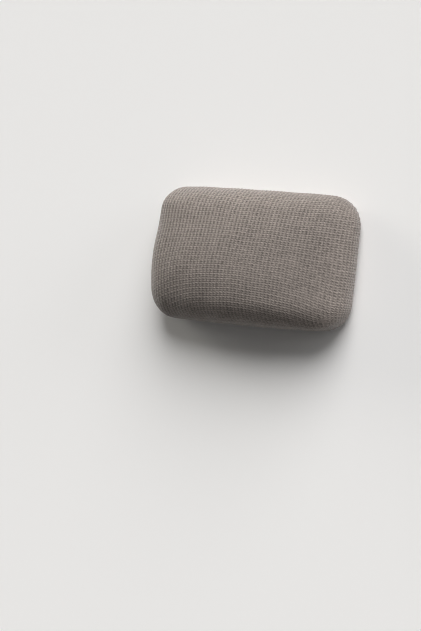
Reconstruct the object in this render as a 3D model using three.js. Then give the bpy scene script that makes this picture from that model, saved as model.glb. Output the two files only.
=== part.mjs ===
// A stretch knit cover for a sofa back cushion, pulled over its cushion and filled by it.
// It lies on its back: the face looks along +Z, the cushion's top edge is at +Y,
// and +X is to the right of someone who looks at the face.
// The origin is at the middle of the flat back. Millimetres.

import * as THREE from 'three';
import { mergeGeometries, mergeVertices } from 'three/addons/utils/BufferGeometryUtils.js';

// Driving dimensions
const WIDTH = 732;
const HEIGHT = 447;
const SIDE_SWELL = 6; // the filled sides stand this far outside the outline of the face
const CORNER_RADII = { top: { left: 72, right: 97 }, bottom: { left: 90, right: 90 } }; // seen from the front
const FACE_ROUND = 68; // soft edge where the face rolls over to the sides
const BACK_ROUND = 24; // tighter edge where the sides meet the back
const RIB_PITCH = 13.3; // upright ribs of the knit
const RIB_RISE = 1.6; // from the floor of a furrow to the crest of a rib
const ROWS = 18; // facets up the face
const STEPS = 7; // facets down the sides
const EDGE_CROWDING = 0.4; // 0 spaces the rows evenly, more crowds them towards the rounded edges
const WELD = 1e-3; // points closer than this are one point

// Height of the face over the back, a row for each section across the cushion.
// up runs from the bottom edge, 0, to the top edge, 1. The belly is low and left of the middle,
// and the top is thin because the face rolls back there.
const FACE_SECTIONS = [
  { up: 0.0, left: 108, middle: 186, right: 142 },
  { up: 0.12, left: 126, middle: 195, right: 136 },
  { up: 0.3, left: 145, middle: 204, right: 126 },
  { up: 0.5, left: 146, middle: 195, right: 121 },
  { up: 0.7, left: 131, middle: 175, right: 118 },
  { up: 0.86, left: 124, middle: 149, right: 106 },
  { up: 1.0, left: 100, middle: 131, right: 96 },
];

// Half sizes of the outline, and of the flat pattern that is bent over the rounded edge.
// The pattern's own edge falls at the middle of that bend.
const halfBend = (Math.PI / 4) * FACE_ROUND;
const halfWidth = WIDTH / 2 - SIDE_SWELL;
const halfHeight = HEIGHT / 2 - SIDE_SWELL;
const flatX = halfWidth - FACE_ROUND + halfBend;
const flatY = halfHeight - FACE_ROUND + halfBend;

const ribs = Math.round((2 * flatX) / RIB_PITCH);
const ribPitch = (2 * flatX) / ribs;
const columns = 2 * ribs; // one facet for each flank of a rib

const sections = new THREE.CubicInterpolant(
  FACE_SECTIONS.map((row) => row.up),
  FACE_SECTIONS.flatMap((row) => [row.left, row.middle, row.right]),
  3,
);

// A parabola through the left edge, the middle and the right edge of the section at this place.
function faceHeight(x, y) {
  const up = THREE.MathUtils.clamp(0.5 + y / (2 * halfHeight), 0, 1);
  const across = THREE.MathUtils.clamp(x / halfWidth, -1, 1);
  const [left, middle, right] = sections.evaluate(up);
  const lean = (right - left) / 2;
  const crown = (left + right) / 2 - middle;
  return middle + lean * across + crown * across * across;
}

// Follow the section of the edge from the face to the back. travel is 0 halfway round the bend at the face.
// turn is how far the surface has turned from facing up, inset the distance in from the outline,
// and drop the depth below the face.
function edgeSection(travel, wall) {
  const bent = travel + halfBend;
  if (bent <= 0) {
    return { turn: 0, inset: FACE_ROUND - bent, drop: 0 };
  }
  const faceBend = 2 * halfBend;
  if (bent <= faceBend) {
    const turn = bent / FACE_ROUND;
    return { turn, inset: FACE_ROUND * (1 - Math.sin(turn)), drop: FACE_ROUND * (1 - Math.cos(turn)) };
  }
  const down = Math.min(bent - faceBend, wall);
  const backTurn = (bent - faceBend - down) / BACK_ROUND;
  return {
    turn: Math.PI / 2 + backTurn,
    inset: BACK_ROUND * (1 - Math.cos(backTurn)),
    drop: FACE_ROUND + down + BACK_ROUND * Math.sin(backTurn),
  };
}

// The radius of the corner that is nearest to this point.
function cornerRadius(point) {
  const pair = point.y > 0 ? CORNER_RADII.top : CORNER_RADII.bottom;
  return point.x > 0 ? pair.right : pair.left;
}

// Bend one point of the flat pattern into place. depth is 0 on the face and 1 at the edge of the flat back.
function bend(flatPoint, depth) {
  const radius = cornerRadius(flatPoint);
  const flatCorner = radius - FACE_ROUND + halfBend;
  const straight = new THREE.Vector2(halfWidth - radius, halfHeight - radius);
  const inner = flatPoint.clone().clamp(straight.clone().negate(), straight);

  // A square corner of the pattern spreads into a quarter disc, so the ribs curve there without a kink.
  const square = new THREE.Vector2().subVectors(flatPoint, inner).divideScalar(flatCorner);
  const outward = new THREE.Vector2(
    square.x * Math.sqrt(1 - (square.y * square.y) / 2),
    square.y * Math.sqrt(1 - (square.x * square.x) / 2),
  );
  const reach = outward.length();
  outward.normalize();

  // Where this point's line meets the outline, which sets the height of the side there.
  const rim = inner.clone().addScaledVector(outward, radius);
  const wall = faceHeight(rim.x, rim.y) - FACE_ROUND - BACK_ROUND;
  const sideLength = halfBend + wall + (Math.PI / 2) * BACK_ROUND;
  const { turn, inset, drop } = edgeSection((reach - 1) * flatCorner + depth * sideLength, wall);

  const place = inner.clone().addScaledVector(outward, radius - inset);
  const crest = turn < Math.PI / 2 ? place : rim;
  const top = faceHeight(crest.x, crest.y);
  const height = top - drop;
  const swell = SIDE_SWELL * Math.sin((Math.PI * height) / top);

  // The furrows between the ribs are cut below the surface, and run out towards the back.
  const furrow = (RIB_RISE / 2) * (1 - Math.cos((2 * Math.PI * flatPoint.x) / ribPitch)) * Math.cos(turn / 2);
  place.addScaledVector(outward, swell - furrow * Math.sin(turn));
  return new THREE.Vector3(place.x, place.y, height - furrow * Math.cos(turn));
}

// Rows of facets lie closer together where the edge is rounded.
function crowd(y) {
  const share = y / flatY;
  return flatY * ((1 - EDGE_CROWDING) * share + EDGE_CROWDING * Math.sin((Math.PI / 2) * share));
}

// The face and its four sides: a box of facets without its back, bent into place.
function faceAndSides() {
  const box = new THREE.BoxGeometry(2 * flatX, 2 * flatY, 1, columns, ROWS, STEPS);
  const back = box.groups[box.groups.length - 1];
  box.setIndex(Array.from(box.index.array).slice(0, back.start));
  box.clearGroups();
  const points = box.attributes.position;
  for (let i = 0; i < points.count; i += 1) {
    const flatPoint = new THREE.Vector2(points.getX(i), crowd(points.getY(i)));
    const bent = bend(flatPoint, 0.5 - points.getZ(i));
    points.setXYZ(i, bent.x, bent.y, bent.z);
  }
  return box;
}

// The edge of the flat back, walked once round, anticlockwise seen from the face.
function backRim() {
  const rim = [];
  const step = { x: (2 * flatX) / columns, y: (2 * flatY) / ROWS };
  for (let i = 0; i < columns; i += 1) rim.push(new THREE.Vector2(-flatX + i * step.x, -flatY));
  for (let i = 0; i < ROWS; i += 1) rim.push(new THREE.Vector2(flatX, -flatY + i * step.y));
  for (let i = 0; i < columns; i += 1) rim.push(new THREE.Vector2(flatX - i * step.x, flatY));
  for (let i = 0; i < ROWS; i += 1) rim.push(new THREE.Vector2(-flatX, flatY - i * step.y));
  return rim.map((point) => {
    const bent = bend(new THREE.Vector2(point.x, crowd(point.y)), 1);
    return new THREE.Vector2(bent.x, bent.y);
  });
}

// The flat back that the cushion lies on, facing down.
function flatBack() {
  const cap = new THREE.ShapeGeometry(new THREE.Shape(backRim()));
  cap.setIndex(Array.from(cap.index.array).reverse());
  return cap;
}

function cushionCover() {
  const pieces = [faceAndSides(), flatBack()];
  for (const piece of pieces) {
    piece.deleteAttribute('normal');
    piece.deleteAttribute('uv');
  }
  const geometry = mergeVertices(mergeGeometries(pieces), WELD);
  geometry.computeVertexNormals();
  const knit = new THREE.MeshStandardMaterial({ color: 0x8b8279, roughness: 0.95, metalness: 0 });
  const mesh = new THREE.Mesh(geometry, knit);
  mesh.name = 'cushion_cover';
  return mesh;
}

const part = new THREE.Group();
part.add(cushionCover());

export default part;
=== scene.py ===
# %% [markdown]
# # A stretch knit cover on its cushion
# The part is one cover of stretch waffle knit, pulled over a back cushion and filled by it.
# The imported model is loaded first, as a fixed frame. It gives the cushion's size and place, and the solid
# that the finished cover will stand for.

# %% Load the frame
import math
from collections import namedtuple

import bpy
import numpy as np
from mathutils import Matrix, Vector


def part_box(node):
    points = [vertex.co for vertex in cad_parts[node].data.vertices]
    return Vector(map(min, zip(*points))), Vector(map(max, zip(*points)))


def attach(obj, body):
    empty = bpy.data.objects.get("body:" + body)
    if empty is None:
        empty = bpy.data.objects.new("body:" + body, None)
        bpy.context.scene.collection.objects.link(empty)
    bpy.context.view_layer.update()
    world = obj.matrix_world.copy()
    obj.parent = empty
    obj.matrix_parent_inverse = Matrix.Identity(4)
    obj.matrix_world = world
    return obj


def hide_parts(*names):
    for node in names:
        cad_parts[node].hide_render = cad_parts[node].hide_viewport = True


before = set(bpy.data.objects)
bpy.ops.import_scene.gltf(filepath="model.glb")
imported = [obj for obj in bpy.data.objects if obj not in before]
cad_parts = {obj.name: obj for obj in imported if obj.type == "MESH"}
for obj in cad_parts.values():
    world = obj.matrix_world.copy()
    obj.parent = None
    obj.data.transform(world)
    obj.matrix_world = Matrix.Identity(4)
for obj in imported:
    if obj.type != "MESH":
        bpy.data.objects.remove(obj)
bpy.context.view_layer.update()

SOLID = "cushion_cover"
low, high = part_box(SOLID)
WIDTH = high.x - low.x
HEIGHT = high.y - low.y
print(f"cushion {WIDTH:.3f} m wide, {HEIGHT:.3f} m high, {high.z - low.z:.3f} m thick")

# %% [markdown]
# ## The form of the filled cushion
# A cushion like this is flat at the back, crowned at the face and soft at every edge. Its filling has
# settled, so the belly is low and a little to the left, and the top rolls back and is thin.
# It could be sculpted, but a few sections describe it better: each row of the table gives the height of the
# face over the back at the left edge, in the middle and at the right edge, for one place on the way up.
# Between the rows the heights follow a smooth curve, and across each row a parabola. Sizes are in metres.

# %% Sections of the face
SIDE_SWELL = 0.006
HALF_WIDTH = WIDTH / 2 - SIDE_SWELL
HALF_HEIGHT = HEIGHT / 2 - SIDE_SWELL

Section = namedtuple("Section", "up left middle right")
FACE_SECTIONS = (
    Section(up=0.00, left=0.108, middle=0.186, right=0.142),
    Section(up=0.12, left=0.126, middle=0.195, right=0.136),
    Section(up=0.30, left=0.145, middle=0.204, right=0.126),
    Section(up=0.50, left=0.146, middle=0.195, right=0.121),
    Section(up=0.70, left=0.131, middle=0.175, right=0.118),
    Section(up=0.86, left=0.124, middle=0.149, right=0.106),
    Section(up=1.00, left=0.100, middle=0.131, right=0.096),
)


def section_heights(up):
    """The heights at the left, middle and right, on a smooth curve through the rows of the table."""
    knots = np.array([section.up for section in FACE_SECTIONS])
    heights = np.array([section[1:] for section in FACE_SECTIONS])
    slopes = np.gradient(heights, knots, axis=0)
    row = np.clip(np.searchsorted(knots, up, side="right") - 1, 0, len(knots) - 2)
    span = (knots[row + 1] - knots[row])[:, None]
    t = (up - knots[row])[:, None] / span
    ease = t * t * (3 - 2 * t)
    leave = t * (1 - t) ** 2
    arrive = t * t * (t - 1)
    level = heights[row] * (1 - ease) + heights[row + 1] * ease
    return level + span * (slopes[row] * leave + slopes[row + 1] * arrive)


def face_height(x, y):
    """How high the face stands over the back at these places."""
    up = np.clip(0.5 + y / (2 * HALF_HEIGHT), 0, 1)
    across = np.clip(x / HALF_WIDTH, -1, 1)
    left, middle, right = section_heights(up).T
    lean = (right - left) / 2
    crown = (left + right) / 2 - middle
    return middle + lean * across + crown * across**2


belly = max(section.middle for section in FACE_SECTIONS)
print(f"{len(FACE_SECTIONS)} sections, belly {belly:.3f} m over the back")

# %% [markdown]
# ## The flat pattern
# The knit is cut flat, and the fill bends it over the rounded edges. So every point of the cover has a place
# on the flat pattern: x and y on the face, and a depth that runs from 0 at the face's edge to 1 at the edge
# of the back. The pattern's edge falls halfway round the bend, and its square corners spread into quarter
# discs. Working on the pattern keeps the ribs of the knit straight up the face, as on the real cover.

# %% Places on the flat pattern
TOP_LEFT_CORNER = 0.072
TOP_RIGHT_CORNER = 0.097
BOTTOM_CORNER = 0.090
FACE_ROUND = 0.068
HALF_BEND = math.pi / 4 * FACE_ROUND
FLAT_X = HALF_WIDTH - FACE_ROUND + HALF_BEND
FLAT_Y = HALF_HEIGHT - FACE_ROUND + HALF_BEND
TINY = 1e-9

Spread = namedtuple("Spread", "inner_x inner_y out_x out_y reach corner flat_corner")


def corner_radius(x, y):
    """The radius of the cushion's corner that is nearest to these pattern points."""
    return np.where(y > 0, np.where(x > 0, TOP_RIGHT_CORNER, TOP_LEFT_CORNER), BOTTOM_CORNER)


def spread(x, y):
    """Pattern points as a place inside the round corners, the way out from there and how far out they lie."""
    corner = corner_radius(x, y)
    flat_corner = corner - FACE_ROUND + HALF_BEND
    inner_x = np.clip(x, corner - HALF_WIDTH, HALF_WIDTH - corner)
    inner_y = np.clip(y, corner - HALF_HEIGHT, HALF_HEIGHT - corner)
    square_x = (x - inner_x) / flat_corner
    square_y = (y - inner_y) / flat_corner
    disc_x = square_x * np.sqrt(1 - square_y**2 / 2)
    disc_y = square_y * np.sqrt(1 - square_x**2 / 2)
    size = np.hypot(disc_x, disc_y)
    way = np.maximum(size, TINY)
    return Spread(inner_x, inner_y, disc_x / way, disc_y / way, size * flat_corner, corner, flat_corner)


print(f"flat pattern of the face {2 * FLAT_X:.3f} m by {2 * FLAT_Y:.3f} m")

# %% Bend the pattern over the cushion
BACK_ROUND = 0.024


def rim_height(at):
    """How high the face stands where the way out from spread points meets the cushion's outline."""
    return face_height(at.inner_x + at.out_x * at.corner, at.inner_y + at.out_y * at.corner)


def side_length(rim):
    """How far the cover runs from the edge of the flat pattern to the edge of the back."""
    return HALF_BEND + rim - FACE_ROUND - BACK_ROUND + math.pi / 2 * BACK_ROUND


def bend(x, y, depth):
    """Places of pattern points on the filled cushion, as rows of x, y and z."""
    at = spread(x, y)
    rim = rim_height(at)
    wall = rim - FACE_ROUND - BACK_ROUND
    bent = at.reach - at.flat_corner + HALF_BEND + depth * side_length(rim)
    turn = np.clip(bent / FACE_ROUND, 0, math.pi / 2)
    past = np.maximum(bent - 2 * HALF_BEND, 0)
    down = np.minimum(past, wall)
    back_turn = (past - down) / BACK_ROUND
    inset = np.maximum(-bent, 0) + FACE_ROUND * (1 - np.sin(turn)) + BACK_ROUND * (1 - np.cos(back_turn))
    drop = FACE_ROUND * (1 - np.cos(turn)) + down + BACK_ROUND * np.sin(back_turn)

    radius = at.corner - inset
    face = face_height(at.inner_x + at.out_x * radius, at.inner_y + at.out_y * radius)
    top = np.where(past > 0, rim, face)
    z = top - drop
    radius = radius + SIDE_SWELL * np.sin(math.pi * z / top)
    return np.column_stack([at.inner_x + at.out_x * radius, at.inner_y + at.out_y * radius, z])


centre = np.zeros(1)
print(f"middle of the face {bend(centre, centre, centre)[0, 2]:.3f} m over the back")

# %% [markdown]
# ## The camera
# The camera is set before anything is modelled, so that every render shows what the photograph's frame shows.
# The picture was taken from the right of the cushion and a little above it, with a long lens, while the
# cushion leaned back. Here the cushion lies on its back, so the camera is turned with it and keeps its angle
# to the face. The turn and pitch are the camera's own, and the lean and roll are the cushion's.

# %% Place the camera
PICTURE_WIDTH = 421
PICTURE_HEIGHT = 631
FOCAL_PIXELS = 2568
CAMERA_TURN = math.radians(31.2)
CAMERA_PITCH = math.radians(9.07)
CUSHION_LEAN = math.radians(12.9)
CUSHION_ROLL = math.radians(-0.33)
CUSHION_PIXEL = (249.3, 256.5)
CUSHION_DISTANCE = 8.39
CUSHION_MIDDLE = Vector((0, 0, 0.09))
SENSOR = 36
FAR_CLIP = 100


def camera_axes():
    """The camera's right, up and back in the frame of the cushion on its back."""
    turn_sin = math.sin(CAMERA_TURN)
    turn_cos = math.cos(CAMERA_TURN)
    pitch_sin = math.sin(CAMERA_PITCH)
    pitch_cos = math.cos(CAMERA_PITCH)
    right = Vector((turn_cos, turn_sin, 0))
    up = Vector((-turn_sin * pitch_sin, turn_cos * pitch_sin, pitch_cos))
    back = Vector((turn_sin * pitch_cos, -turn_cos * pitch_cos, pitch_sin))
    lay_down = Matrix.Rotation(CUSHION_LEAN - math.pi / 2, 3, "X")
    unroll = Matrix.Rotation(CUSHION_ROLL, 3, "Z")
    return [unroll @ (lay_down @ axis) for axis in (right, up, back)]


right, up, back = camera_axes()
pixel = CUSHION_DISTANCE / FOCAL_PIXELS
aside = (CUSHION_PIXEL[0] - PICTURE_WIDTH / 2) * pixel
above = (PICTURE_HEIGHT / 2 - CUSHION_PIXEL[1]) * pixel
place = CUSHION_MIDDLE - right * aside - up * above + back * CUSHION_DISTANCE

camera_data = bpy.data.cameras.new("camera")
camera_data.sensor_width = SENSOR
camera_data.lens = FOCAL_PIXELS * SENSOR / PICTURE_HEIGHT
camera_data.clip_end = FAR_CLIP
camera = bpy.data.objects.new("camera", camera_data)
bpy.context.scene.collection.objects.link(camera)
camera.matrix_world = Matrix.Translation(place) @ Matrix((right, up, back)).transposed().to_4x4()
bpy.context.scene.camera = camera
print(f"camera at {tuple(round(c, 2) for c in place)}, lens {camera_data.lens:.1f} mm")

# %% [markdown]
# ## Cut the cover
# The cover is modelled as it is cut: a grid for the face, with about one cell to each rib across and to each
# row of the knit, whose rim is extruded step by step for the sides and closed with one face at the back.
# A box that is subdivided evenly would spend as many faces on the back, which lies on the floor, as on the
# face. The edge of the back is creased, which matters when the cover is subdivided.
# Each point keeps its place on the flat pattern as an attribute, because the knit follows the pattern later.

# %% A grid, its extruded rim and a closed back
CELLS_ACROSS = 52
CELLS_UP = 56
SIDE_STEPS = 15


def get_points(mesh, kind="co"):
    """The vertices' places, or their normals, as rows of three numbers."""
    values = np.empty(len(mesh.vertices) * 3, np.float32)
    mesh.vertices.foreach_get(kind, values)
    return values.reshape(-1, 3).astype(float)


def set_points(mesh, points):
    """Move all vertices of a mesh."""
    mesh.vertices.foreach_set("co", points.astype(np.float32).ravel())
    mesh.update()


# The grid runs from -1 to 1 each way, so the pattern's half sizes scale it.
bpy.ops.object.select_all(action="DESELECT")
bpy.ops.mesh.primitive_grid_add(x_subdivisions=CELLS_ACROSS, y_subdivisions=CELLS_UP, size=2)
cover = bpy.context.object
cover.name = "knit_cover"
bpy.ops.object.mode_set(mode="EDIT")
bpy.ops.mesh.select_mode(type="EDGE")
bpy.ops.mesh.select_all(action="SELECT")
bpy.ops.transform.resize(value=(FLAT_X, FLAT_Y, 1))
bpy.ops.mesh.region_to_loop()
for step in range(SIDE_STEPS):
    bpy.ops.mesh.extrude_region_move(TRANSFORM_OT_translate={"value": (0, 0, -1 / SIDE_STEPS)})
bpy.ops.transform.edge_crease(value=1)
bpy.ops.mesh.edge_face_add()
bpy.ops.mesh.select_all(action="SELECT")
bpy.ops.mesh.normals_make_consistent(inside=False)
bpy.ops.object.mode_set(mode="OBJECT")

pattern = get_points(cover.data) * (1, 1, -1)
pattern_attribute = cover.data.attributes.new("pattern", "FLOAT_VECTOR", "POINT")
pattern_attribute.data.foreach_set("vector", pattern.astype(np.float32).ravel())
print(f"{CELLS_ACROSS} cells across, {CELLS_UP} up, {SIDE_STEPS} down: {len(cover.data.polygons)} faces")

# %% [markdown]
# ## Fill it
# The pattern is bent over the cushion, a little slack, and then filled: Blender's cloth simulation blows it
# up with pressure while the back stays pinned, so the fabric pulls taut between its edges as a filled cover
# does. The movement is capped, because the cushion inside sets the size. The fibre of the fill makes soft
# lumps, which are a few long waves over the face.

# %% Bend the cut cover, with lumps and slack
SLACK = 0.001
Lump = namedtuple("Lump", "height long_x long_y start")
LUMPS = (
    Lump(height=0.0016, long_x=-0.71, long_y=0.71, start=4.65),
    Lump(height=0.0006, long_x=-0.42, long_y=0.29, start=0.13),
    Lump(height=0.0009, long_x=-0.137, long_y=0.227, start=5.08),
)


def fill_lump(lump, x, y):
    """How far one wave of the fill pushes the face out or lets it sink."""
    return lump.height * np.sin(2 * math.pi * (x / lump.long_x + y / lump.long_y) + lump.start)


set_points(cover.data, bend(*pattern.T))
filled = get_points(cover.data)
on_back = pattern[:, 2] > 1 - TINY
lumps = sum(fill_lump(lump, pattern[:, 0], pattern[:, 1]) for lump in LUMPS)
outward = np.where(on_back, 0, lumps * (1 - pattern[:, 2]) - SLACK)
slack = filled + get_points(cover.data, "normal") * outward[:, None]
set_points(cover.data, slack)
print(f"lumps {1000 * lumps.min():.1f} to {1000 * lumps.max():.1f} mm, slack {1000 * SLACK:.1f} mm")

# %% Fill it with the cloth simulation
PRESSURE = 4
FILL_FRAMES = 20
HOLD_OF_CUSHION = 0.12
FARTHEST_MOVE = 0.005

bpy.ops.object.select_all(action="DESELECT")
cover.select_set(True)
bpy.context.view_layer.objects.active = cover
pin = cover.vertex_groups.new(name="held")
pin.add(np.flatnonzero(~on_back).tolist(), HOLD_OF_CUSHION, "REPLACE")
pin.add(np.flatnonzero(on_back).tolist(), 1, "REPLACE")
cloth = cover.modifiers.new("Fill", "CLOTH")
cloth.settings.quality = 4
cloth.settings.mass = 0.3
cloth.settings.tension_stiffness = 100
cloth.settings.compression_stiffness = 100
cloth.settings.shear_stiffness = 50
cloth.settings.bending_stiffness = 10
cloth.settings.use_pressure = True
cloth.settings.uniform_pressure_force = PRESSURE
cloth.settings.vertex_group_mass = pin.name
cloth.settings.effector_weights.gravity = 0
cloth.collision_settings.use_collision = False
cloth.point_cache.frame_end = FILL_FRAMES
for number in range(1, FILL_FRAMES + 1):
    bpy.context.scene.frame_set(number)
bpy.ops.object.modifier_apply(modifier=cloth.name)
bpy.context.scene.frame_set(1)

move = get_points(cover.data) - slack
distance = np.linalg.norm(move, axis=1, keepdims=True)
set_points(cover.data, slack + move * np.minimum(1, FARTHEST_MOVE / np.maximum(distance, TINY)))
off = np.linalg.norm(get_points(cover.data) - filled, axis=1)
print(f"fill moved points {1000 * distance.mean():.1f} mm, {1000 * distance.max():.1f} mm at most")
print(f"the cover lies {1000 * off.mean():.1f} mm from its form, {1000 * off.max():.1f} mm at most")

# %% [markdown]
# ## Refine it
# Two levels of Subdivision Surface give about four points to each rib and to each row of the knit, enough to
# raise the knit as real relief. The flat back is one face, so it gains only a fan of narrow ones. Without the
# crease at its edge the smoothing would draw the sides in under the cushion, towards the fan's middle.

# %% Subdivide
FINE_LEVELS = 2
finer = cover.modifiers.new("Finer", "SUBSURF")
finer.levels = FINE_LEVELS
finer.render_levels = FINE_LEVELS
finer.use_limit_surface = False
bpy.ops.object.modifier_apply(modifier=finer.name)
bpy.ops.object.shade_smooth()

fine_pattern = np.empty(len(cover.data.vertices) * 3, np.float32)
cover.data.attributes["pattern"].data.foreach_get("vector", fine_pattern)
flat_x, flat_y, depth = fine_pattern.reshape(-1, 3).astype(float).T
print(f"{len(cover.data.vertices)} points after subdivision")

# %% [markdown]
# ## Where the knit lies
# A waffle knit is a lattice: upright ribs, and rows that cross them. The ribs run almost straight up the face
# and over the top, a little closer together at the ends. The rows sag towards the sides in the lower half,
# because the cover is pulled down over the bottom corners, and they are nearly straight at the top. No two
# ribs or rows run quite evenly, so both waver a little.
# The lattice runs on from the face over the sides. In the round corners it stays close to straight and runs
# off over the edge, and the spare knit is drawn together towards the seam. The sides are of different
# heights, so the lattice there is spaced between their own heights and a common one.
# Numbers here count ribs across and rows up from the middle of the face.

# %% Ribs across and rows up
HALF_RIBS = 25.3
HALF_ROWS = 28.3
RIBS_CLOSER_RIGHT = 0.6
RIBS_CLOSER_AT_ENDS = 0.7
SAG = 3.4
SAG_LOST_UPWARD = 5.3
TILT = 0.8
TILT_BACK_AT_ENDS = 1.0
ROWS_CLOSER_RIGHT = 1.1
ROWS_CLOSER_UP = 0.7
COMMON_RIM = 0.137
CORNER_EASE = 0.6
Waver = namedtuple("Waver", "size by_aside by_up start")
RIB_WAVER = Waver(size=0.11, by_aside=0, by_up=6.3, start=-3.6)
ROW_WAVERS = (
    Waver(size=0.10, by_aside=11, by_up=3, start=0),
    Waver(size=0.08, by_aside=-17, by_up=6, start=2),
)


def waver(wave, aside, up):
    """How far a small wave shifts the ribs or the rows."""
    return wave.size * np.sin(wave.by_aside * aside + wave.by_up * up + wave.start)


def lattice(x, y, depth):
    """Ribs across and rows up, for pattern points and their depth down the sides."""
    at = spread(x, y)
    beyond = depth * side_length((COMMON_RIM + rim_height(at)) / 2)
    turn = np.arctan2(at.out_y, at.out_x)
    turn = turn - CORNER_EASE * np.sin(4 * turn) / 4
    aside = (at.inner_x + at.out_x * at.reach) / FLAT_X
    up = (at.inner_y + at.out_y * at.reach) / FLAT_Y
    across = HALF_RIBS * (aside + np.cos(turn) * beyond / FLAT_X)
    across = across + RIBS_CLOSER_RIGHT * aside**2 + RIBS_CLOSER_AT_ENDS * aside**3
    across = across + (1 - aside) * waver(RIB_WAVER, aside, up)
    rows = HALF_ROWS * (up + np.sin(turn) * beyond / FLAT_Y)
    rows = rows + (SAG - SAG_LOST_UPWARD * up) * aside**2
    rows = rows + TILT * aside - TILT_BACK_AT_ENDS * aside**3
    rows = rows + ROWS_CLOSER_RIGHT * aside * up + ROWS_CLOSER_UP * up**2
    rows = rows + sum(waver(wave, aside, up) for wave in ROW_WAVERS)
    return across, rows


on_side = depth > TINY
across, rows = lattice(flat_x, flat_y, np.where(on_side, depth, 0))
print(f"ribs {across.min():.0f} to {across.max():.0f}, rows {rows.min():.0f} to {rows.max():.0f}")

# %% [markdown]
# ## Raise the knit and sink the seam
# Ribs and the bars that cross them stand high, and the pits between them are low. Every second bar is
# stronger, the pits below it are rounder than those above it, and the ribs sway a little from bar to bar:
# that is how the stitches of a waffle knit pull on each other. The cover isn't pulled evenly: the ribs stand
# out more on the left and towards the top, the bars are weaker on the left, and both are flatter over the
# belly and below it. One function gives this height. It is told which sine, cosine and smooth step to use,
# so the finish can make the same waves out of nodes later.
# The relief is cut below the smooth surface, so the cushion keeps its size. The seam round the back pulls
# the knit in, and the spare knit of the corners is gathered towards it.

# %% Height of the knit
RIB_SHARE = 0.21
BAR_SHARE = 0.165
STRONG_BAR_SHARE = 0.06
STRONG_BAR_START = 0.25
LEAN_SHARE = 0.11
LEAN_START = 1.3
ROUND_PIT = 0.46
ROUND_START = 0.55
SWAY = 0.053
SWAY_START = -0.33

# Places on the face run from -1 at the left and the bottom to 1 at the right and the top.
RIB_PULL = 0.34
LEFT_BARS = 0.6
BARS_WHOLE_AT = -0.2
LOW_RIBS = 0.72
LOW_RIBS_AT = -0.5
TOP_RIBS = 1.13
TOP_RIBS_AT = 0.8
LOW_BARS = 0.85
LOW_BARS_AT = 0
TOP_BARS_AT = 0.5


def smooth_step(value, low_end, high_end, low_value, high_value):
    """The low value up to the low end, the high value from the high end, and a smooth change between them."""
    t = np.clip((value - low_end) / (high_end - low_end), 0, 1)
    return low_value + (high_value - low_value) * t * t * (3 - 2 * t)


def waffle(across, rows, sine, cosine, step):
    """Height of the knit, about 0 in the deepest pits and 1 on the highest crossings."""
    pair = math.pi * rows
    rib = cosine(2 * math.pi * (across + SWAY * cosine(pair + SWAY_START)))
    rib = rib * (1 - ROUND_PIT * sine(pair + ROUND_START))
    bars = BAR_SHARE * cosine(2 * pair) + STRONG_BAR_SHARE * cosine(pair + STRONG_BAR_START)
    aside = across * (1 / HALF_RIBS)
    up = rows * (1 / HALF_ROWS)
    rib = rib * (1 - RIB_PULL * aside) * step(up, LOW_RIBS_AT, TOP_RIBS_AT, LOW_RIBS, TOP_RIBS)
    bars = bars * step(aside, -1, BARS_WHOLE_AT, LEFT_BARS, 1)
    bars = bars * step(up, LOW_BARS_AT, TOP_BARS_AT, LOW_BARS, 1)
    lean = LEAN_SHARE * cosine(2 * math.pi * (across + rows) + LEAN_START)
    return 0.5 + RIB_SHARE * rib + bars + lean


knit_height = waffle(across, rows, np.sin, np.cos, smooth_step)
print(f"height of the knit {knit_height.min():.2f} to {knit_height.max():.2f}")

# %% Relief of the knit, the seam and the gathers
RELIEF = 0.0028
SEAM_DEPTH = 0.0018
SEAM_HALF_WIDTH = 0.004
SEAM_STEP = 51
BACK_SEAM = SEAM_STEP / (SIDE_STEPS * 2**FINE_LEVELS)
GATHER_DEPTH = 0.0016
GATHER_PITCH = 0.019
GATHER_REACH = 0.045
GATHER_ON_SIDES = 0.25
DRAWN_FROM = 0.3
DRAWN_TO = 0.9
DRAWN_FLAT = 0.7
PRESSED_FROM = 0.93


def bell(distance, width):
    """1 on a line, falling softly to nothing a few widths away."""
    return np.exp(-((distance / width) ** 2))


flat = spread(flat_x, flat_y)
to_seam = np.abs(depth - BACK_SEAM) * side_length(rim_height(flat))
seam = bell(to_seam, SEAM_HALF_WIDTH)
round_corner = 2 * np.abs(flat.out_x * flat.out_y) * on_side
gather = 0.5 + 0.5 * np.sin(2 * math.pi * (np.abs(flat_x) - np.abs(flat_y)) / GATHER_PITCH)
gather = gather * bell(to_seam, GATHER_REACH) * (GATHER_ON_SIDES + round_corner) * on_side
drawn_in = 1 - round_corner * smooth_step(depth, DRAWN_FROM, DRAWN_TO, 0, DRAWN_FLAT)
not_pressed = smooth_step(depth, PRESSED_FROM, 1, 1, 0)
relief = (1 - knit_height) * RELIEF * drawn_in * (1 - seam)
relief = relief + SEAM_DEPTH * seam + GATHER_DEPTH * gather * (1 - seam)
points = get_points(cover.data) - get_points(cover.data, "normal") * (relief * not_pressed)[:, None]
points[:, 2] = np.maximum(points[:, 2], 0)
set_points(cover.data, points)
print(f"relief {1000 * relief.min():.2f} to {1000 * relief.max():.2f} mm below the smooth surface")

# %% [markdown]
# ## Lay the lattice out as a UV map
# The material draws the same lattice as the relief, so both read one map: u counts ribs and v counts rows.
# The back is a panel of its own, whose ribs and rows run straight, so its map comes from its points' places.
# A point at its edge has one place in the knit of the side and another in the back's, so the map is worked
# out for each corner of each face. After subdivision every face has four corners.

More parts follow.
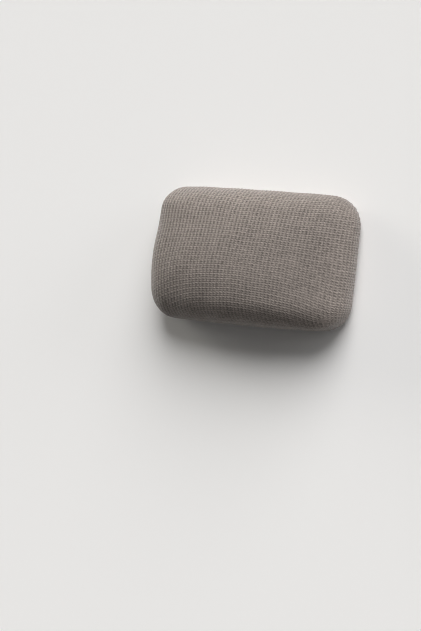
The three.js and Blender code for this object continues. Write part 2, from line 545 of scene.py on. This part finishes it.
# %% UV map of the knit
FACE_CORNERS = 4
ROUNDING = 1e-4
mesh = cover.data
corner_point = np.empty(len(mesh.loops), np.int32)
mesh.loops.foreach_get("vertex_index", corner_point)
face_depth = depth[corner_point].reshape(-1, FACE_CORNERS).mean(axis=1)
on_back_face = np.repeat(face_depth > 1 - ROUNDING, FACE_CORNERS)

side_u, side_v = lattice(flat_x[corner_point], flat_y[corner_point], depth[corner_point])
place_x, place_y, _ = get_points(mesh)[corner_point].T
u = np.where(on_back_face, HALF_RIBS * place_x / FLAT_X, side_u)
v = np.where(on_back_face, HALF_ROWS * place_y / FLAT_Y, side_v)
knit_map = mesh.uv_layers.new(name="knit")
knit_map.data.foreach_set("uv", np.column_stack([u, v]).astype(np.float32).ravel())

seam_attribute = mesh.attributes.new("to_seam", "FLOAT", "POINT")
seam_attribute.data.foreach_set("value", to_seam.astype(np.float32))
print(f"UV map on {len(mesh.loops)} corners, {2 * len(mesh.polygons)} triangles")

# %% [markdown]
# ## Node maths as Python
# A knit is mostly waves and remainders, which are long chains of Math nodes. A small class wraps a socket, so
# that an expression such as `1 - rib * bar` adds the nodes by itself. Every other node is made by one method,
# which sets the node's settings first and then fills its sockets with numbers or links.

# %% Sockets with arithmetic
class Field:
    """A value that varies over a surface: one socket of a finish's node tree."""

    def __init__(self, finish, socket):
        self.finish = finish
        self.socket = socket

    def math(self, operation, *values):
        sockets = dict(enumerate(values))
        return self.finish.node("ShaderNodeMath", {"operation": operation}, sockets)

    def __add__(self, other):
        return self.math("ADD", self, other)

    def __radd__(self, other):
        return self.math("ADD", other, self)

    def __sub__(self, other):
        return self.math("SUBTRACT", self, other)

    def __rsub__(self, other):
        return self.math("SUBTRACT", other, self)

    def __mul__(self, other):
        return self.math("MULTIPLY", self, other)

    def __rmul__(self, other):
        return self.math("MULTIPLY", other, self)

    def sine(self):
        return self.math("SINE", self)

    def cosine(self):
        return self.math("COSINE", self)

    def remainder(self):
        return self.math("FRACT", self)

    def whole(self):
        return self.math("FLOOR", self)

    def size(self):
        return self.math("ABSOLUTE", self)


print("sockets add, subtract and multiply")


# %% A finish and its nodes
class Finish:
    """One material, with a method that makes any node."""

    def __init__(self, name):
        self.material = bpy.data.materials.new(name)
        self.material.use_nodes = True
        self.tree = self.material.node_tree
        self.shader = self.tree.nodes["Principled BSDF"]

    def node(self, kind, settings=None, sockets=None, output=0):
        made = self.tree.nodes.new(kind)
        for key, value in (settings or {}).items():
            setattr(made, key, value)
        for key, value in (sockets or {}).items():
            self.fill(made.inputs[key], value)
        return Field(self, made.outputs[output])

    def fill(self, socket, value):
        if isinstance(value, Field):
            self.tree.links.new(value.socket, socket)
        else:
            socket.default_value = value

    def part(self, vector, index):
        return self.node("ShaderNodeSeparateXYZ", sockets={0: vector}, output=index)

    def noise(self, place, grain, output=0):
        sockets = {"Vector": place, "Scale": grain.scale, "Detail": grain.detail}
        return self.node("ShaderNodeTexNoise", sockets=sockets, output=output)

    def own_shade(self, column, row):
        place = self.node("ShaderNodeCombineXYZ", sockets={0: column, 1: row})
        return self.node("ShaderNodeTexWhiteNoise", {"noise_dimensions": "2D"}, {"Vector": place})

    def mix(self, share, first, second):
        return self.node("ShaderNodeMix", {"data_type": "RGBA"}, {0: share, 6: first, 7: second}, output=2)

    def smooth_step(self, value, low_end, high_end, low_value, high_value):
        settings = {"interpolation_type": "SMOOTHSTEP"}
        ends = {1: low_end, 2: high_end, 3: low_value, 4: high_value}
        return self.node("ShaderNodeMapRange", settings, {0: value, **ends})

    def surface(self, **sockets):
        for key, value in sockets.items():
            self.fill(self.shader.inputs[key.replace("_", " ").title()], value)


print("a finish makes noise, mixes, steps and a shade for each stitch")

# %% [markdown]
# ## The knit's finish
# The yarn is a matt warm taupe, lighter on the ribs. The pits are painted much darker: mostly painted shade
# for the little light that falls in them, and partly the darker ground yarn that shows there. Each rib is a
# band of small stitches, two slanting legs to a stitch, and no two stitches are quite the same shade. The
# stitches are too small to model, so they are a bump on top of the modelled relief, with painted shade
# between their loops.
# Fibres, flecks and faint clouds of tone keep the yarn from looking printed.

# %% Stitches
STITCHES_PER_RIB = 6
STITCHES_PER_ROW = 4
STITCH_SLANT = 0.45


def stitches(finish, across, rows):
    """How each stitch rounds along its yarn, and a shade of its own for each stitch."""
    wale = across * STITCHES_PER_RIB
    course = rows * STITCHES_PER_ROW
    leg = (wale.remainder() - 0.5).size() * 2
    loop = course + leg * STITCH_SLANT
    rounding = (loop * (2 * math.pi)).cosine() * 0.5 + 0.5
    return rounding, finish.own_shade(wale.whole(), loop.whole())


print(f"{STITCHES_PER_RIB} by {STITCHES_PER_ROW} stitches to a cell of the knit")

# %% Waffle knit
RIB_YARN = (0.353, 0.304, 0.274, 1)
# The dark end of the yarn's colour is mostly painted shade for the pits, and partly the darker ground yarn.
PIT_SHADE_AND_GROUND_YARN = (0.086, 0.075, 0.067, 1)
# The dark line along the seam is painted shade in its crease.
SEAM_SHADE = (0.060, 0.050, 0.044, 1)
SEAM_LINE = 0.0016
SEAM_DARKNESS = 0.8
Grain = namedtuple("Grain", "scale detail")
WANDER_GRAIN = Grain(scale=70, detail=1)
FIBRE_GRAIN = Grain(scale=900, detail=2)
FLECK_GRAIN = Grain(scale=170, detail=3)
CLOUD_GRAIN = Grain(scale=9, detail=3)
WANDER = 0.35
# How much darker the pits are painted than the ribs: painted shade where little light falls.
PAINTED_PIT_SHADE = 0.62
# The rounding of each stitch is painted as shade: darker between its loops.
PAINTED_STITCH_SHADE = 0.08
SHADE_CONTRAST = 0.40
FIBRE_CONTRAST = 0.08
FLECK_CONTRAST = 0.30
CLOUD_CONTRAST = 0.07
CELL_CONTRAST = 0.16
RELIEF_BUMP = 0.2
STITCH_BUMP = 0.30
FIBRE_BUMP = 0.16
BUMP_STRENGTH = 0.55
BUMP_DEPTH = 0.0012
ROUGHNESS = 0.92
SHEEN = 0.45
SHEEN_ROUGHNESS = 0.4
SPECULAR = 0.2


def waffle_knit():
    """The finish of the whole cover."""
    finish = Finish("taupe_waffle_knit")
    place = finish.node("ShaderNodeUVMap", {"uv_map": "knit"})
    spot = finish.node("ShaderNodeTexCoord", output="Object")
    wander = finish.noise(spot, WANDER_GRAIN, output="Color")
    across = finish.part(place, 0) + (finish.part(wander, 0) - 0.5) * WANDER
    rows = finish.part(place, 1) + (finish.part(wander, 1) - 0.5) * WANDER
    height = waffle(across, rows, Field.sine, Field.cosine, finish.smooth_step)
    stitch, shade = stitches(finish, across, rows)
    fibre = finish.noise(spot, FIBRE_GRAIN)
    contrasts = (
        # The knit's height paints shade into its pits.
        (finish.smooth_step(height, 0, 1, 0, 1), PAINTED_PIT_SHADE),
        # Painted shade between the loops of the stitches.
        (stitch, PAINTED_STITCH_SHADE),
        (shade, SHADE_CONTRAST),
        (fibre, FIBRE_CONTRAST),
        (finish.noise(spot, FLECK_GRAIN), FLECK_CONTRAST),
        (finish.noise(spot, CLOUD_GRAIN), CLOUD_CONTRAST),
        (finish.own_shade(across.whole(), rows.whole()), CELL_CONTRAST),
    )
    light = 0.5
    for value, contrast in contrasts:
        light = light + (value - 0.5) * contrast
    to_seam = finish.node("ShaderNodeAttribute", {"attribute_name": "to_seam"}, output="Fac")
    # Painted shade darkens the seam's crease.
    seam = finish.smooth_step(to_seam, 0, SEAM_LINE, SEAM_DARKNESS, 0)
    colour = finish.mix(light, PIT_SHADE_AND_GROUND_YARN, RIB_YARN)
    colour = finish.mix(seam, colour, SEAM_SHADE)
    bumps = height * RELIEF_BUMP + stitch * STITCH_BUMP + fibre * FIBRE_BUMP
    bump_sockets = {"Strength": BUMP_STRENGTH, "Distance": BUMP_DEPTH, "Height": bumps}
    bump = finish.node("ShaderNodeBump", sockets=bump_sockets)
    finish.surface(base_color=colour, roughness=ROUGHNESS, normal=bump)
    finish.shader.inputs["Sheen Weight"].default_value = SHEEN
    finish.shader.inputs["Sheen Roughness"].default_value = SHEEN_ROUGHNESS
    finish.shader.inputs["Specular IOR Level"].default_value = SPECULAR
    return finish.material


cover.data.materials.append(waffle_knit())
print("finish:", cover.data.materials[0].name)

# %% [markdown]
# ## Floor and light
# The cushion lies on a plain pale floor. The light is soft and even: a key as wide as a bank of windows, from
# beyond the cushion's top edge, as daylight from above falls on a cushion that stands up, and a pale surround
# that fills the rest. A low light from each side, turned towards the top edge, keeps the rounded ends from
# going dull, and the left one is slightly warm. Sun lamps with a wide angle are as soft as area lamps, and
# they light the whole floor evenly.

# %% Floor
FLOOR_SIZE = 60
FLOOR_COLOUR = (0.96, 0.95, 0.94, 1)
FLOOR_ROUGHNESS = 0.9


def pale_floor():
    """The finish of the floor."""
    finish = Finish("pale_floor")
    finish.surface(base_color=FLOOR_COLOUR, roughness=FLOOR_ROUGHNESS)
    return finish.material


bpy.ops.object.select_all(action="DESELECT")
bpy.ops.mesh.primitive_plane_add(size=FLOOR_SIZE)
floor = bpy.context.object
floor.name = "floor"
floor.data.materials.append(pale_floor())
print(f"floor {FLOOR_SIZE} m square")

# %% Lights
KEY_STRENGTH = 3.6
KEY_WIDTH = math.radians(50)
KEY_HEIGHT = math.radians(32)
KEY_ASIDE = math.radians(18)
LEFT_STRENGTH = 2.4
RIGHT_STRENGTH = 1.3
SIDE_WIDTH = math.radians(35)
SIDE_HEIGHT = math.radians(3)
SIDE_ASIDE = math.radians(65)
WHITE = (1, 1, 1)
WARM_WHITE = (1, 0.975, 0.89)


def add_sun(name, strength, colour, width, aside, height):
    """A wide sun lamp. Aside turns it from the cushion's top edge to its right, and height lifts it."""
    lamp = bpy.data.lights.new(name, "SUN")
    lamp.energy = strength
    lamp.color = colour
    lamp.angle = width
    sun = bpy.data.objects.new(name, lamp)
    towards = Vector((math.sin(aside), math.cos(aside), math.tan(height)))
    sun.rotation_euler = towards.to_track_quat("Z", "Y").to_euler()
    bpy.context.scene.collection.objects.link(sun)


add_sun("key", KEY_STRENGTH, WHITE, KEY_WIDTH, KEY_ASIDE, KEY_HEIGHT)
add_sun("left_side", LEFT_STRENGTH, WARM_WHITE, SIDE_WIDTH, -SIDE_ASIDE, SIDE_HEIGHT)
add_sun("right_side", RIGHT_STRENGTH, WHITE, SIDE_WIDTH, SIDE_ASIDE, SIDE_HEIGHT)
print(f"key {KEY_STRENGTH}, sides {LEFT_STRENGTH} and {RIGHT_STRENGTH}")

# %% Surround
SURROUND_COLOUR = (1, 0.99, 0.98, 1)
SURROUND_STRENGTH = 0.11
FILTER_PIXELS = 1.0

world = bpy.data.worlds.new("surround")
world.use_nodes = True
background = world.node_tree.nodes["Background"]
background.inputs["Color"].default_value = SURROUND_COLOUR
background.inputs["Strength"].default_value = SURROUND_STRENGTH
bpy.context.scene.world = world
bpy.context.scene.view_settings.view_transform = "Standard"

# A narrow pixel filter keeps the cells of the knit crisp.
bpy.context.scene.cycles.filter_width = FILTER_PIXELS
print(f"surround {SURROUND_STRENGTH}")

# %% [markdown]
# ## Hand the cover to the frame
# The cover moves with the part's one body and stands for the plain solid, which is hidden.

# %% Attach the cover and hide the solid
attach(cover, "root")
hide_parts(SOLID)
